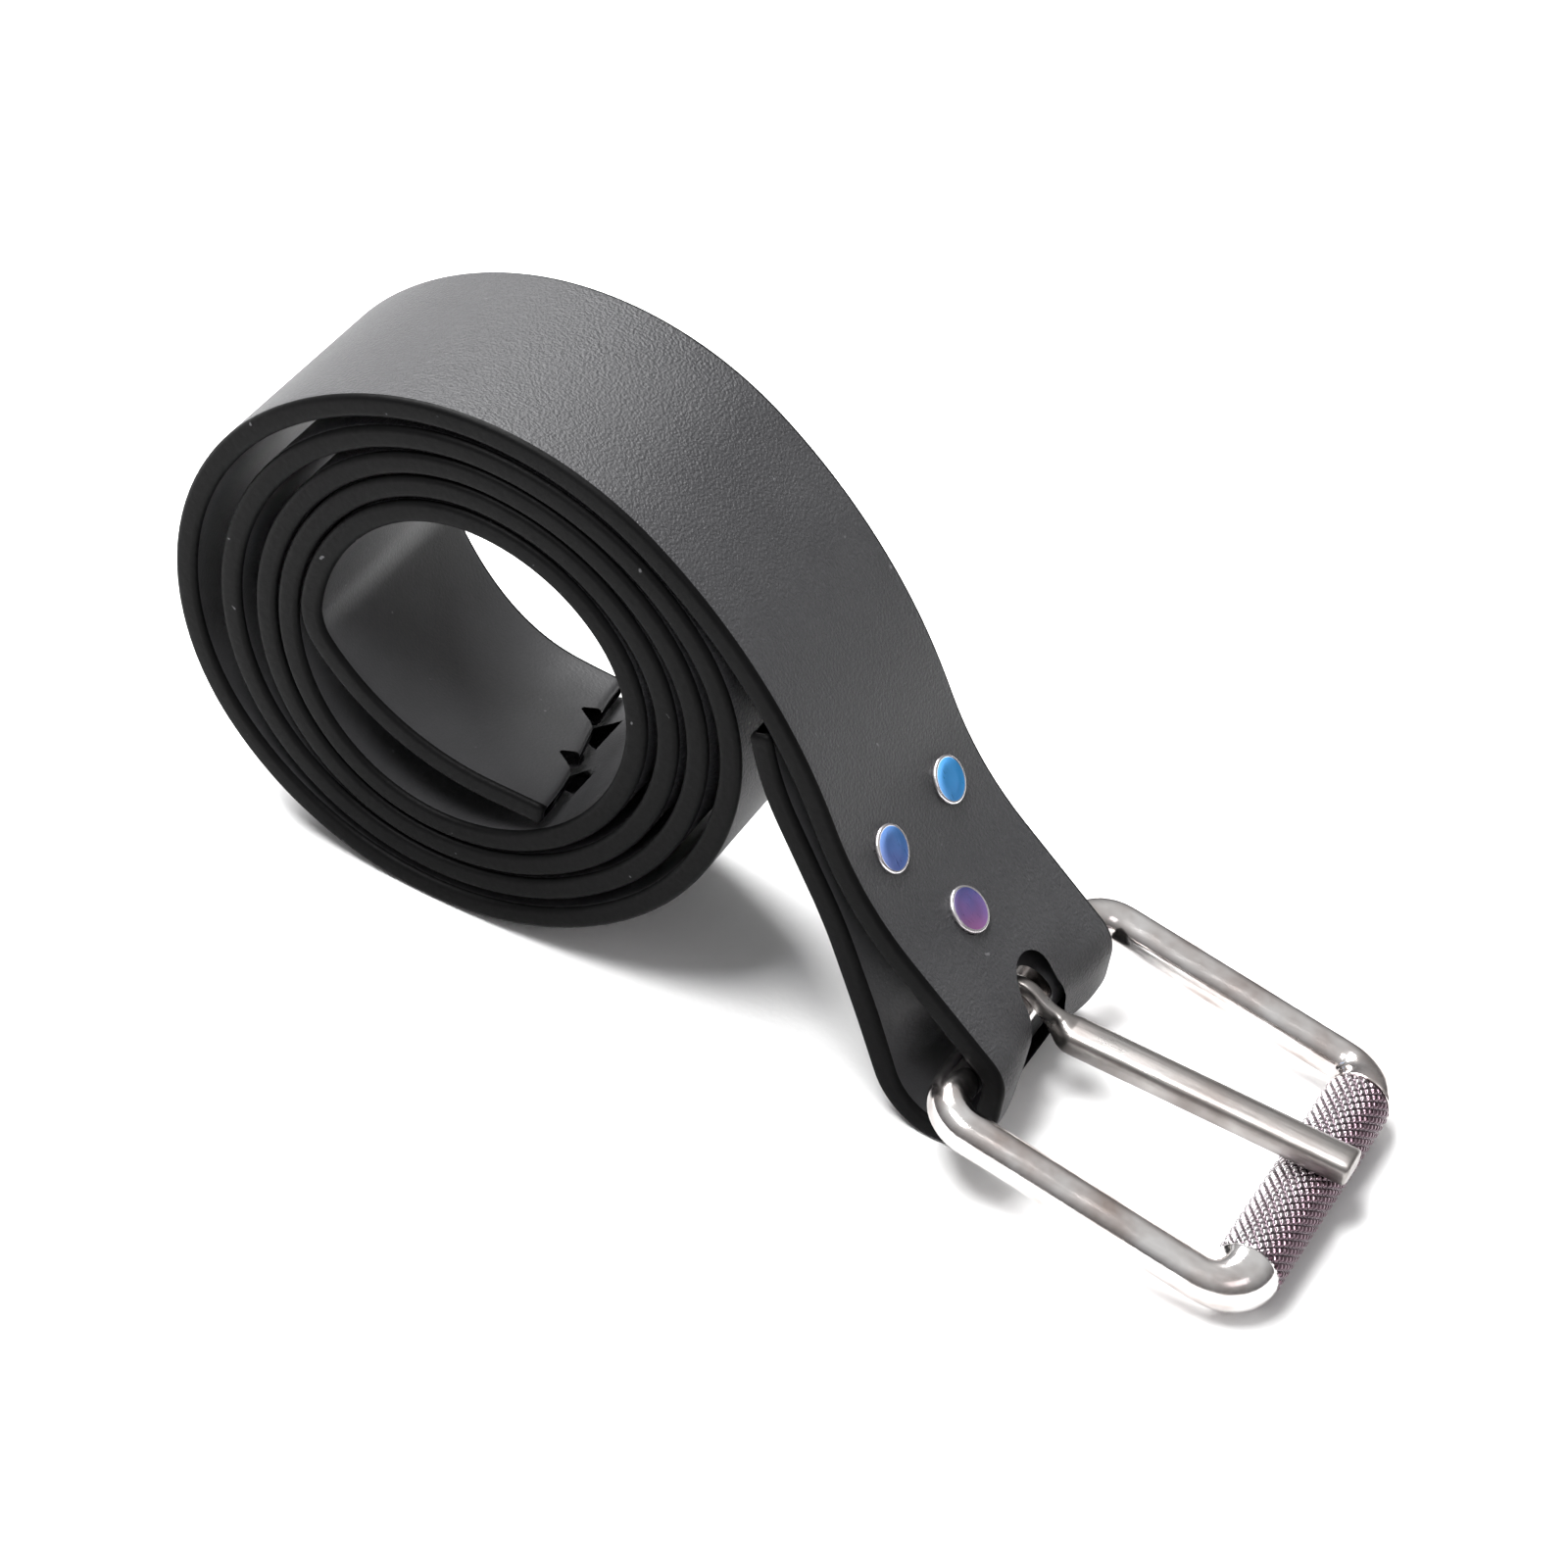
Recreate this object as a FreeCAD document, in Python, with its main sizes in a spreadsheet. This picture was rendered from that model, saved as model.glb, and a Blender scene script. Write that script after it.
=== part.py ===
"""Dive weight belt: a coiled rubber strap with a riveted pin-and-roller buckle.

Frame: millimetres, +Z up, +Y across the strap's width, +X from the coil to the buckle.
The coil stands on its outermost turn like a wheel and the buckle's roller rests on the
same surface. The strap is one bent strip, so its profile is drawn in the XZ plane.
"""
import FreeCAD, Part
import math
import os
from FreeCAD import Placement, Rotation, Vector

DIMENSIONS = {
    "strap_width": 50.0,
    "strap_thick": 4.5,
    "layer_gap": 0.15,         # between the tail and the flap riveted under it
    "slot_width": 12.0,        # slot through the fold for the prong
    "slot_mouth": 17.6,        # the slot spreads to this over the front of the fold
    "adjust_hole": 8.0,        # prong holes near the free end
    "wire_diameter": 8.3,
    "frame_length": 62.8,      # fold bar to roller, centre to centre
    "frame_width": 69.0,       # side wire to side wire, centre to centre
    "corner_bend": 7.5,        # centreline radius of the frame's corners
    "nose_diameter": 13.0,     # the frame's front corners swell to this beside the roller
    "roller_diameter": 13.3,
    "roller_length": 53.7,
    "running_gap": 0.06,       # radial clearance of the roller and of the prong's eye
    "eye_diameter": 14.0,
    "eye_thick": 2.8,
    "prong_width": 7.6,
    "prong_height": 5.6,
    "prong_length": 70.0,      # fold bar's centre to the prong's tip
    "prong_neck": 9.6,         # fold bar's centre to the prong's shoulder
    "prong_round": 4.2,        # radius of the prong's rounded top
    "rivet_head": 9.6,
    "rivet_head_thick": 1.1,
    "rivet_back": 8.5,
    "rivet_back_thick": 1.0,
    "rivet_socket": 5.0,
    "rivet_pin": 3.5,
    "rivet_hole": 5.2,
}

doc = FreeCAD.newDocument("dive_weight_belt")
sheet = doc.addObject("Spreadsheet::Sheet", "dimensions")
for row, (alias, value) in enumerate(DIMENSIONS.items(), start=1):
    sheet.set(f"A{row}", alias)
    sheet.set(f"B{row}", str(value))
    sheet.setAlias(f"B{row}", alias)
doc.recompute()

Y_AXIS = Vector(0, 1, 0)
STRAP_THICK = DIMENSIONS["strap_thick"]
HALF_THICK = STRAP_THICK / 2


# ------------------------------------------------------------------ strip centreline
# A place is (x, z, heading in degrees). A step is ("run", length) straight ahead or
# ("bend", radius, degrees), to the left when positive.

def step_end(place, step):
    x, z, heading = place
    angle = math.radians(heading)
    if step[0] == "run":
        return x + step[1] * math.cos(angle), z + step[1] * math.sin(angle), heading
    turn = math.radians(step[2])
    radius = math.copysign(step[1], turn)
    x += radius * (math.sin(angle + turn) - math.sin(angle))
    z -= radius * (math.cos(angle + turn) - math.cos(angle))
    return x, z, heading + step[2]


def walk(place, steps):
    for step in steps:
        place = step_end(place, step)
    return place


def beside(place, offset):
    """The place that lies offset to the left, heading the same way."""
    x, z, heading = place
    angle = math.radians(heading)
    return x - offset * math.sin(angle), z + offset * math.cos(angle), heading


def point(place):
    return Vector(place[0], place[1], 0)


def side_curves(start, steps, offset):
    """The strip's side as sketch geometry, offset to the left of its centreline."""
    curves = []
    place = start
    for step in steps:
        end = step_end(place, step)
        first, last = point(beside(place, offset)), point(beside(end, offset))
        if step[0] == "run":
            curves.append(Part.LineSegment(first, last))
        else:
            middle = step_end(place, ("bend", step[1], step[2] / 2))
            curves.append(Part.Arc(first, point(beside(middle, offset)), last))
        place = end
    return curves


def quarter(along, across):
    """Two 45 degree left bends between two axis crossings of an oval coil.

    along is the travel on the first heading, across the travel square to it."""
    near, far = math.sqrt(0.5), 1 - math.sqrt(0.5)
    spread = near * near - far * far
    first = (near * along - far * across) / spread
    second = (near * across - far * along) / spread
    return [("bend", first, 45), ("bend", second, 45)]


def closing_steps(start, end, right_radius, left_radius):
    """A right bend, a straight run and a left bend that join two places."""
    sx, sz, start_heading = beside(start, -right_radius)
    ex, ez, end_heading = beside(end, left_radius)
    distance = math.hypot(ex - sx, ez - sz)
    lean = math.asin((right_radius + left_radius) / distance)
    heading = math.degrees(math.atan2(ez - sz, ex - sx) - lean)
    right_turn = (start_heading - heading) % 360
    left_turn = (end_heading - heading) % 360
    return [("bend", right_radius, -right_turn), ("run", distance * math.cos(lean)),
            ("bend", left_radius, left_turn)]


# Centreline distances of the coil where it crosses the upright and the level through its
# centre, outermost turn first.
COIL_TOP = (54.2, 48.6, 43.8, 39.0, 33.8)
COIL_LEFT = (59.3, 49.4, 41.6, 36.8, 32.0)
COIL_BOTTOM = (54.05, 47.6, 42.5, 37.5)
COIL_RIGHT = (56.8, 50.0, 43.9, 37.4)
FREE_END_DROP = 24.4       # the free end levels out this far below the coil's centre
FREE_END_SWEEP = 10.0      # and this far beyond it
FREE_END_RUN = 11.5

coil_steps = []
for turn in range(len(COIL_TOP)):
    coil_steps += quarter(COIL_LEFT[turn], COIL_TOP[turn])
    if turn < len(COIL_BOTTOM):
        coil_steps += quarter(COIL_BOTTOM[turn], COIL_LEFT[turn])
        coil_steps += quarter(COIL_RIGHT[turn], COIL_BOTTOM[turn])
        coil_steps += quarter(COIL_TOP[turn + 1], COIL_RIGHT[turn])
coil_steps += quarter(FREE_END_DROP, COIL_LEFT[-1] + FREE_END_SWEEP)
coil_steps.append(("run", FREE_END_RUN))

# From the top of the coil the strap runs out to the fold round the buckle's bar, turns
# back under itself and ends as a flap riveted to its underside.
coil_height = COIL_BOTTOM[0] + HALF_THICK
coil_top = (0.0, coil_height + COIL_TOP[0], 0.0)
TAIL = [("bend", 66, -30), ("bend", 120, -28), ("run", 5), ("bend", 75, 22), ("run", 24)]
BAR_WRAP = 4.5             # the strap's inner radius round the bar
wrap_radius = BAR_WRAP + HALF_THICK
tail_end = walk(coil_top, TAIL)
bar_x, bar_z, _ = beside(tail_end, -wrap_radius)

LOOP_RADIUS = 9.5          # the loop's lower bend, which touches the surface
FLAP_RUN = 7.0             # straight part of the flap, below the last rivet
flap_gap = STRAP_THICK + DIMENSIONS["layer_gap"]
fold_steps = [("bend", wrap_radius, -54), ("run", bar_z - LOOP_RADIUS - HALF_THICK),
              ("bend", LOOP_RADIUS, -110)]
flap_root = beside(walk(coil_top, TAIL[:4] + [("run", FLAP_RUN)]), -flap_gap)
flap_root = (flap_root[0], flap_root[1], flap_root[2] + 180)
loop_end = walk(tail_end, fold_steps)
loop_steps = closing_steps(loop_end, flap_root, LOOP_RADIUS, 6)
flap_steps = [("run", FLAP_RUN), ("bend", 75 + flap_gap, -22), ("run", 5),
              ("bend", 120 - flap_gap, 8)]
outward_steps = TAIL + fold_steps + loop_steps + flap_steps

# The coil is walked inward from its top, so its outer side is on the right.
coil_start = (coil_top[0], coil_top[1], 180.0)


def sketch_on_side(name, curves):
    sketch = doc.addObject("Sketcher::SketchObject", name)
    sketch.Placement = Placement(Vector(), Rotation(Vector(1, 0, 0), 90))
    sketch.addGeometry(curves, False)
    return sketch


def bound(obj, **expressions):
    for prop, expression in expressions.items():
        obj.setExpression(prop.replace("__", "."), expression)
    return obj


def labelled(obj, label):
    obj.Label = label
    return obj


def padded_body(name, curves, width_alias):
    body = doc.addObject("PartDesign::Body", name)
    sketch = sketch_on_side(f"{name}_profile", curves)
    body.addObject(sketch)
    pad = doc.addObject("PartDesign::Pad", f"{name}_pad")
    body.addObject(pad)
    pad.Profile = sketch
    pad.Midplane = True
    bound(pad, Length=f"dimensions.{width_alias}")
    body.Tip = pad
    return body


def strap_curves():
    """Outer side from the free end to the flap, across, and back on the inner side."""
    outer_coil = side_curves(coil_start, coil_steps, -HALF_THICK)
    inner_coil = side_curves(coil_start, coil_steps, HALF_THICK)
    outer_tail = side_curves(coil_top, outward_steps, HALF_THICK)
    inner_tail = side_curves(coil_top, outward_steps, -HALF_THICK)
    free_end = walk(coil_start, coil_steps)
    flap_end = walk(coil_top, outward_steps)
    ends = [Part.LineSegment(point(beside(place, HALF_THICK)), point(beside(place, -HALF_THICK)))
            for place in (free_end, flap_end)]
    return outer_coil + inner_coil + outer_tail + inner_tail + ends


# ---------------------------------------------------------------------- round pieces
# Cylinders and cones are built along their own +Z and then laid along a direction.

def along(direction, x, y, z):
    return Placement(Vector(x, y, z), Rotation(Vector(0, 0, 1), direction))


def cylinder(name, radius, height, placement):
    obj = doc.addObject("Part::Cylinder", name)
    obj.Placement = placement
    return bound(obj, Radius=radius, Height=height)


def box(name, length, width, height, placement):
    obj = doc.addObject("Part::Box", name)
    obj.Placement = placement
    return bound(obj, Length=length, Width=width, Height=height)


def fused(name, shapes):
    obj = doc.addObject("Part::MultiFuse", name)
    obj.Shapes = shapes
    return obj


def cut(name, base, tool):
    obj = doc.addObject("Part::Cut", name)
    obj.Base = base
    obj.Tool = tool
    return obj


# ----------------------------------------------------------------------------- strap
# Rivets stand square to the tail: steps to the place on the tail's centreline, and y.
HOLLOW_TO_PAIR = [("bend", 75, 8)]
HOLLOW_TO_SINGLE = [("bend", 75, 22), ("run", 2)]
RIVETS = ((HOLLOW_TO_PAIR, 12.0), (HOLLOW_TO_PAIR, -12.0), (HOLLOW_TO_SINGLE, -3.6))
HOLE_PITCH = 35.0
FIRST_HOLE = 110.0
HOLE_COUNT = 8


def rivet_frame(steps, y):
    """Centre of the tail's thickness at a rivet, and the direction out of its face."""
    x, z, heading = walk(coil_top, TAIL[:3] + steps)
    angle = math.radians(heading)
    return Vector(x, y, z), Vector(-math.sin(angle), 0, math.cos(angle))


def coil_place(distance_from_end):
    """The place on the coil's centreline that far from the free end."""
    place = walk(coil_start, coil_steps)
    for step in reversed(coil_steps):
        length = step[1] if step[0] == "run" else step[1] * math.radians(step[2])
        share = min(1.0, distance_from_end / length)
        if step[0] == "run":
            back = ("run", -length * share)
            place = step_end(place, back)
        else:
            x, z, heading = place
            turned = step_end((x, z, heading + 180), ("bend", step[1], -step[2] * share))
            place = (turned[0], turned[1], turned[2] - 180)
        distance_from_end -= length * share
        if distance_from_end <= 1e-9:
            return place
    return place


def hole_tool(name, radius, height, centre, direction):
    start = centre - direction * (height / 2)
    placement = along(direction, start.x, start.y, start.z)
    return cylinder(name, radius, f"{height} mm", placement)


strap_tools = []
for index, (steps, y) in enumerate(RIVETS, start=1):
    centre, out = rivet_frame(steps, y)
    middle = centre - out * (flap_gap / 2)
    strap_tools.append(hole_tool(f"rivet_hole_{index}", "dimensions.rivet_hole / 2", 14,
                                 middle, out))
    # The face is hollow here, so the head presses a flat seat into it.
    seat = centre + out * (HALF_THICK + 1)
    strap_tools.append(hole_tool(f"rivet_seat_{index}", "dimensions.rivet_head / 2 + 0.1", 2,
                                 seat, out))
for index in range(HOLE_COUNT):
    x, z, heading = coil_place(FIRST_HOLE + HOLE_PITCH * index)
    angle = math.radians(heading)
    normal = Vector(-math.sin(angle), 0, math.cos(angle))
    strap_tools.append(hole_tool(f"adjust_hole_{index + 1}", "dimensions.adjust_hole / 2",
                                 STRAP_THICK + 1, Vector(x, 0, z), normal))

SLOT_BACK = -1.5           # the slot's round end is centred this far behind the bar
MOUTH_BACK = -5.0
SLOT_LEAN = 14.0
SLOT_FLOOR = -5.3          # the slot ends this far below the bar, under the prong
slot_turn = Rotation(Y_AXIS, SLOT_LEAN)
slot_foot = Vector(bar_x - SLOT_BACK, 0, bar_z) + slot_turn.multVec(Vector(0, 0, SLOT_FLOOR))
slot_end = cylinder("slot_end", "dimensions.slot_width / 2", "60 mm",
                    Placement(slot_foot, slot_turn))
slot_corner = slot_foot + Vector(0, -DIMENSIONS["slot_width"] / 2, 0)
slot_body = box("slot_body", "30 mm", "dimensions.slot_width", "60 mm",
                Placement(slot_corner, slot_turn))
mouth_corner = slot_foot + slot_turn.multVec(Vector(SLOT_BACK - MOUTH_BACK, 0, 0))
mouth_corner.y = -DIMENSIONS["slot_mouth"] / 2
slot_mouth = box("mouth_body", "25 mm", "dimensions.slot_mouth", "60 mm",
                 Placement(mouth_corner, slot_turn))
strap_tools += [slot_end, slot_body, slot_mouth]

strap_blank = padded_body("strap_blank", strap_curves(), "strap_width")
strap = labelled(cut("strap_cut", strap_blank, fused("strap_openings", strap_tools)), "strap")

# ---------------------------------------------------------------------------- rivets
rivets = []
for index, (steps, y) in enumerate(RIVETS, start=1):
    centre, out = rivet_frame(steps, y)
    face = centre + out * HALF_THICK
    back = centre - out * (HALF_THICK + flap_gap)
    depth = (face - back).Length
    laid = along(out, face.x, y, face.z)
    inward = along(out * -1, face.x, y, face.z)
    head = cylinder(f"cap_head_{index}", "dimensions.rivet_head / 2",
                    "dimensions.rivet_head_thick", laid)
    socket = cylinder(f"cap_socket_{index}", "dimensions.rivet_socket / 2",
                      f"{depth} mm", inward)
    bore = cylinder(f"cap_bore_{index}", "dimensions.rivet_pin / 2", f"{depth} mm", inward)
    cap = cut(f"cap_{index}", fused(f"cap_blank_{index}", [head, socket]), bore)
    rivets.append(labelled(cap, f"rivet_cap_{index}"))
    outward = along(out, back.x, y, back.z)
    plate = cylinder(f"post_head_{index}", "dimensions.rivet_back / 2",
                     "dimensions.rivet_back_thick", along(out * -1, back.x, y, back.z))
    pin = cylinder(f"post_pin_{index}", "dimensions.rivet_pin / 2", f"{depth} mm", outward)
    rivets.append(labelled(fused(f"post_{index}", [plate, pin]), f"rivet_post_{index}"))

# --------------------------------------------------------------------- buckle frame
# Drawn flat with the bar on Y through the origin, then pitched until the roller rests.
pitch = math.degrees(math.asin((bar_z - DIMENSIONS["roller_diameter"] / 2)
                               / DIMENSIONS["frame_length"]))
FRAME_PLACE = Placement(Vector(bar_x, 0, bar_z), Rotation(Y_AXIS, pitch))
WIRE = "dimensions.wire_diameter / 2"
SIDE = DIMENSIONS["frame_width"] / 2
REACH = DIMENSIONS["frame_length"]
BEND = DIMENSIONS["corner_bend"]
straight = "dimensions.frame_width - 2 * dimensions.corner_bend"
frame_parts = [
    cylinder("fold_bar", WIRE, straight, along(Y_AXIS, 0, BEND - SIDE, 0)),
    cylinder("roller_axle", WIRE, straight, along(Y_AXIS, REACH, BEND - SIDE, 0)),
]
for label, side in (("near", -1), ("far", 1)):
    frame_parts.append(cylinder(f"side_wire_{label}", WIRE,
                                "dimensions.frame_length - 2 * dimensions.corner_bend",
                                along(Vector(1, 0, 0), BEND, side * SIDE, 0)))
    corner = doc.addObject("Part::Torus", f"rear_corner_{label}")
    bound(corner, Radius1="dimensions.corner_bend", Radius2=WIRE)
    corner.Angle3 = 90
    corner.Placement = Placement(Vector(BEND, side * (SIDE - BEND), 0),
                                 Rotation(Vector(0, 0, 1), 90 if side > 0 else 180))
    frame_parts.append(corner)
    rings = []
    RING_COUNT = 7
    for ring in range(RING_COUNT):
        share = ring / (RING_COUNT - 1)
        swell = share * share * (3 - 2 * share)
        angle = math.radians(90 * share)
        circle = doc.addObject("Part::Circle", f"nose_{label}_{ring + 1}")
        bound(circle, Radius=f"{WIRE} + {swell:.5f} * "
              "(dimensions.nose_diameter - dimensions.wire_diameter) / 2")
        centre = Vector(REACH - BEND + BEND * math.sin(angle),
                        side * (SIDE - BEND + BEND * math.cos(angle)), 0)
        turned = Rotation(Vector(0, 0, 1), math.degrees(-side * angle))
        circle.Placement = Placement(centre, turned.multiply(Rotation(Y_AXIS, 90)))
        rings.append(circle)
    nose = doc.addObject("Part::Loft", f"nose_{label}")
    nose.Sections = rings
    nose.Solid = True
    frame_parts.append(nose)
frame = labelled(fused("frame_wire", frame_parts), "buckle_frame")
frame.Placement = FRAME_PLACE

# ---------------------------------------------------------------------- roller sleeve
GAP = "dimensions.running_gap"
roller_foot = along(Y_AXIS, REACH, -DIMENSIONS["roller_length"] / 2, 0)
roller = labelled(cut(
    "sleeve",
    cylinder("sleeve_blank", "dimensions.roller_diameter / 2", "dimensions.roller_length",
             roller_foot),
    cylinder("sleeve_bore", f"{WIRE} + {GAP}", "dimensions.roller_length", roller_foot),
), "roller_sleeve")
roller.Placement = FRAME_PLACE

# ------------------------------------------------------------------------------ prong
# A flat eye on the bar, then a bar with a rounded top that lies on the roller.
clearance = 0.1
prong_half = DIMENSIONS["prong_height"] / 2
rest_height = DIMENSIONS["roller_diameter"] / 2 + clearance + prong_half
lift = math.degrees(math.asin(rest_height / REACH))
eye_foot = along(Y_AXIS, 0, -DIMENSIONS["eye_thick"] / 2, 0)
eye = cylinder("eye_disc", "dimensions.eye_diameter / 2", "dimensions.eye_thick", eye_foot)
neck = box("neck", "dimensions.prong_neck + 1", "dimensions.eye_thick",
           "dimensions.prong_height",
           Placement(Vector(0, -DIMENSIONS["eye_thick"] / 2, -prong_half), Rotation()))
arm_box = box("arm_box", "dimensions.prong_length - dimensions.prong_neck",
              "dimensions.prong_width", "dimensions.prong_height",
              Placement(Vector(DIMENSIONS["prong_neck"], -DIMENSIONS["prong_width"] / 2,
                               -prong_half), Rotation()))
arm_round = cylinder("arm_round", "dimensions.prong_round",
                     "dimensions.prong_length - dimensions.prong_neck",
                     along(Vector(1, 0, 0), DIMENSIONS["prong_neck"], 0,
                           prong_half - DIMENSIONS["prong_round"]))
arm_foot = box("arm_foot", "dimensions.prong_length - dimensions.prong_neck",
               "dimensions.prong_width", "dimensions.prong_height / 2",
               Placement(Vector(DIMENSIONS["prong_neck"], -DIMENSIONS["prong_width"] / 2,
                                -prong_half), Rotation()))
arm_top = doc.addObject("Part::Common", "arm_top")
arm_top.Base = arm_box
arm_top.Tool = arm_round
eye_bore = cylinder("eye_bore", f"{WIRE} + {GAP}", "dimensions.eye_thick", eye_foot)
prong = labelled(cut("prong_cut", fused("prong_blank", [eye, neck, arm_top, arm_foot]),
                     eye_bore), "prong")
prong.Placement = Placement(FRAME_PLACE.Base, Rotation(Y_AXIS, pitch - lift))

# ------------------------------------------------------------------- centre and write
parts = [strap, frame, roller, prong] + rivets
doc.recompute()
bounds = FreeCAD.BoundBox()
for part in parts:
    bounds.add(part.Shape.optimalBoundingBox(False, False))
shift = Vector(-bounds.Center.x, -bounds.Center.y, -bounds.ZMin)
for part in parts:
    part.Placement = Placement(shift, Rotation()).multiply(part.Placement)
doc.recompute()

for obj in doc.Objects:
    problems = [state for state in obj.State if state in ("Invalid", "Error")]
    if problems:
        raise RuntimeError(f"{obj.Name}: {problems}")
for part in parts:
    if part.Shape.isNull() or not part.Shape.isValid():
        raise RuntimeError(f"{part.Label}: shape is null or not valid")

os.makedirs("parts", exist_ok=True)
for part in parts:
    part.Shape.exportStep(f"parts/{part.Label}.step")
    solids = len(part.Shape.Solids)
    print(f"{part.Label}: {solids} solid, {part.Shape.Volume / 1000:.2f} cm3")
print(f"shift {shift.x:.3f} {shift.y:.3f} {shift.z:.3f}, size {bounds.XLength:.2f} x "
      f"{bounds.YLength:.2f} x {bounds.ZLength:.2f}")
print(f"bar {bar_x + shift.x:.3f}, {bar_z + shift.z:.3f}; pitch {pitch:.3f}, lift {lift:.3f}")
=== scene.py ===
import math

import bpy
from mathutils import Matrix, Vector


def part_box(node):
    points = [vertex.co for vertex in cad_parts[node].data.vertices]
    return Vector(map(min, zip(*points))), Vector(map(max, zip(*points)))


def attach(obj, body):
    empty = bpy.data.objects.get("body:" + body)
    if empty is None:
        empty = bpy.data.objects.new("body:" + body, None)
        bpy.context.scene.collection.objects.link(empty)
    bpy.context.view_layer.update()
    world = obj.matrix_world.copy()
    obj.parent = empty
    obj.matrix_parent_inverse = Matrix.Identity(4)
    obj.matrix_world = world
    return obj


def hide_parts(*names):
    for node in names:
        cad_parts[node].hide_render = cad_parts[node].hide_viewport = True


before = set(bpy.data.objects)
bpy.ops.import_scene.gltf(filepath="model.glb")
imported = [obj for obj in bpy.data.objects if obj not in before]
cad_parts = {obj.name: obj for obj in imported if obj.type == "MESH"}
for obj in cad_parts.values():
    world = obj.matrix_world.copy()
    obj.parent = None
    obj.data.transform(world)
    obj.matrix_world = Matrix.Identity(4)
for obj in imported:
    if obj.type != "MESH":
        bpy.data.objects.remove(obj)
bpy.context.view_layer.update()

MM = 0.001

# ------------------------------------------------------------ strap path, millimetres
# A place is (x, z, heading in degrees), counted from the coil's centre. A step is
# ("run", length) or ("bend", radius, degrees), to the left when positive.
STRAP_WIDTH = 50.0
STRAP_THICK = 4.5
HALF_THICK = STRAP_THICK / 2
LAYER_GAP = 0.15
# Distances of the coil's middle line from its centre, outermost turn first.
COIL_TOP = (54.2, 48.6, 43.8, 39.0, 33.8)
COIL_LEFT = (59.3, 49.4, 41.6, 36.8, 32.0)
COIL_BOTTOM = (54.05, 47.6, 42.5, 37.5)
COIL_RIGHT = (56.8, 50.0, 43.9, 37.4)
TAIL = [("bend", 66, -30), ("bend", 120, -28), ("run", 5), ("bend", 75, 22), ("run", 24)]
WRAP_RADIUS = 4.5 + HALF_THICK     # round the buckle's bar
LOOP_RADIUS = 9.5          # the loop's lower bend, which touches the surface
FLAP_BEND = 6.0            # where the flap comes up against the tail
FLAP_RUN = 7.0             # straight part of the flap, below the last rivet
FLAP_OFFSET = STRAP_THICK + LAYER_GAP
FREE_END_DROP = 24.4       # the free end levels out this far below the coil's centre
FREE_END_SWEEP = 10.0      # and this far beyond it
FREE_END_RUN = 11.5

COIL_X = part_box("strap")[0].x / MM + COIL_LEFT[0] + HALF_THICK
COIL_Z = COIL_BOTTOM[0] + HALF_THICK


def step_end(place, step):
    x, z, heading = place
    angle = math.radians(heading)
    if step[0] == "run":
        return x + step[1] * math.cos(angle), z + step[1] * math.sin(angle), heading
    turn = math.radians(step[2])
    radius = math.copysign(step[1], turn)
    x += radius * (math.sin(angle + turn) - math.sin(angle))
    z -= radius * (math.cos(angle + turn) - math.cos(angle))
    return x, z, heading + step[2]


def walk(place, steps):
    for step in steps:
        place = step_end(place, step)
    return place


def beside(place, offset):
    x, z, heading = place
    angle = math.radians(heading)
    return x - offset * math.sin(angle), z + offset * math.cos(angle), heading


def step_length(step):
    return step[1] if step[0] == "run" else step[1] * abs(math.radians(step[2]))


def part_of(step, share):
    if step[0] == "run":
        return "run", step[1] * share
    return "bend", step[1], step[2] * share


def stations(place, steps, spacing):
    """Places along a path, close enough together to look smooth."""
    found = [place]
    for step in steps:
        turn = abs(step[2]) if step[0] == "bend" else 0
        count = max(1, math.ceil(step_length(step) / spacing), math.ceil(turn / 4))
        found += [step_end(place, part_of(step, (i + 1) / count)) for i in range(count)]
        place = step_end(place, step)
    return found


def spread(place, steps, count):
    """The same number of places along any path, evenly spaced."""
    total = sum(step_length(s) for s in steps)
    found = []
    for i in range(count + 1):
        left, here = total * i / count, place
        for step in steps:
            length = step_length(step)
            share = min(1.0, left / length)
            here = step_end(here, part_of(step, share))
            left -= length
            if left <= 1e-9:
                break
        found.append(here)
    return found


def quarter(along, across):
    """Two 45 degree left bends between two axis crossings of an oval coil."""
    near, far = math.sqrt(0.5), 1 - math.sqrt(0.5)
    scale = near * near - far * far
    return [("bend", (near * along - far * across) / scale, 45),
            ("bend", (near * across - far * along) / scale, 45)]


def closing_steps(start, end, right_radius, left_radius):
    """A right bend, a straight run and a left bend that join two places."""
    sx, sz, start_heading = beside(start, -right_radius)
    ex, ez, end_heading = beside(end, left_radius)
    distance = math.hypot(ex - sx, ez - sz)
    lean = math.asin((right_radius + left_radius) / distance)
    heading = math.degrees(math.atan2(ez - sz, ex - sx) - lean)
    return [("bend", right_radius, -((start_heading - heading) % 360)),
            ("run", distance * math.cos(lean)),
            ("bend", left_radius, (end_heading - heading) % 360)]


coil_steps = []
for turn in range(len(COIL_TOP)):
    coil_steps += quarter(COIL_LEFT[turn], COIL_TOP[turn])
    if turn < len(COIL_BOTTOM):
        coil_steps += quarter(COIL_BOTTOM[turn], COIL_LEFT[turn])
        coil_steps += quarter(COIL_RIGHT[turn], COIL_BOTTOM[turn])
        coil_steps += quarter(COIL_TOP[turn + 1], COIL_RIGHT[turn])
coil_steps += quarter(FREE_END_DROP, COIL_LEFT[-1] + FREE_END_SWEEP)
coil_steps.append(("run", FREE_END_RUN))

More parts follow.
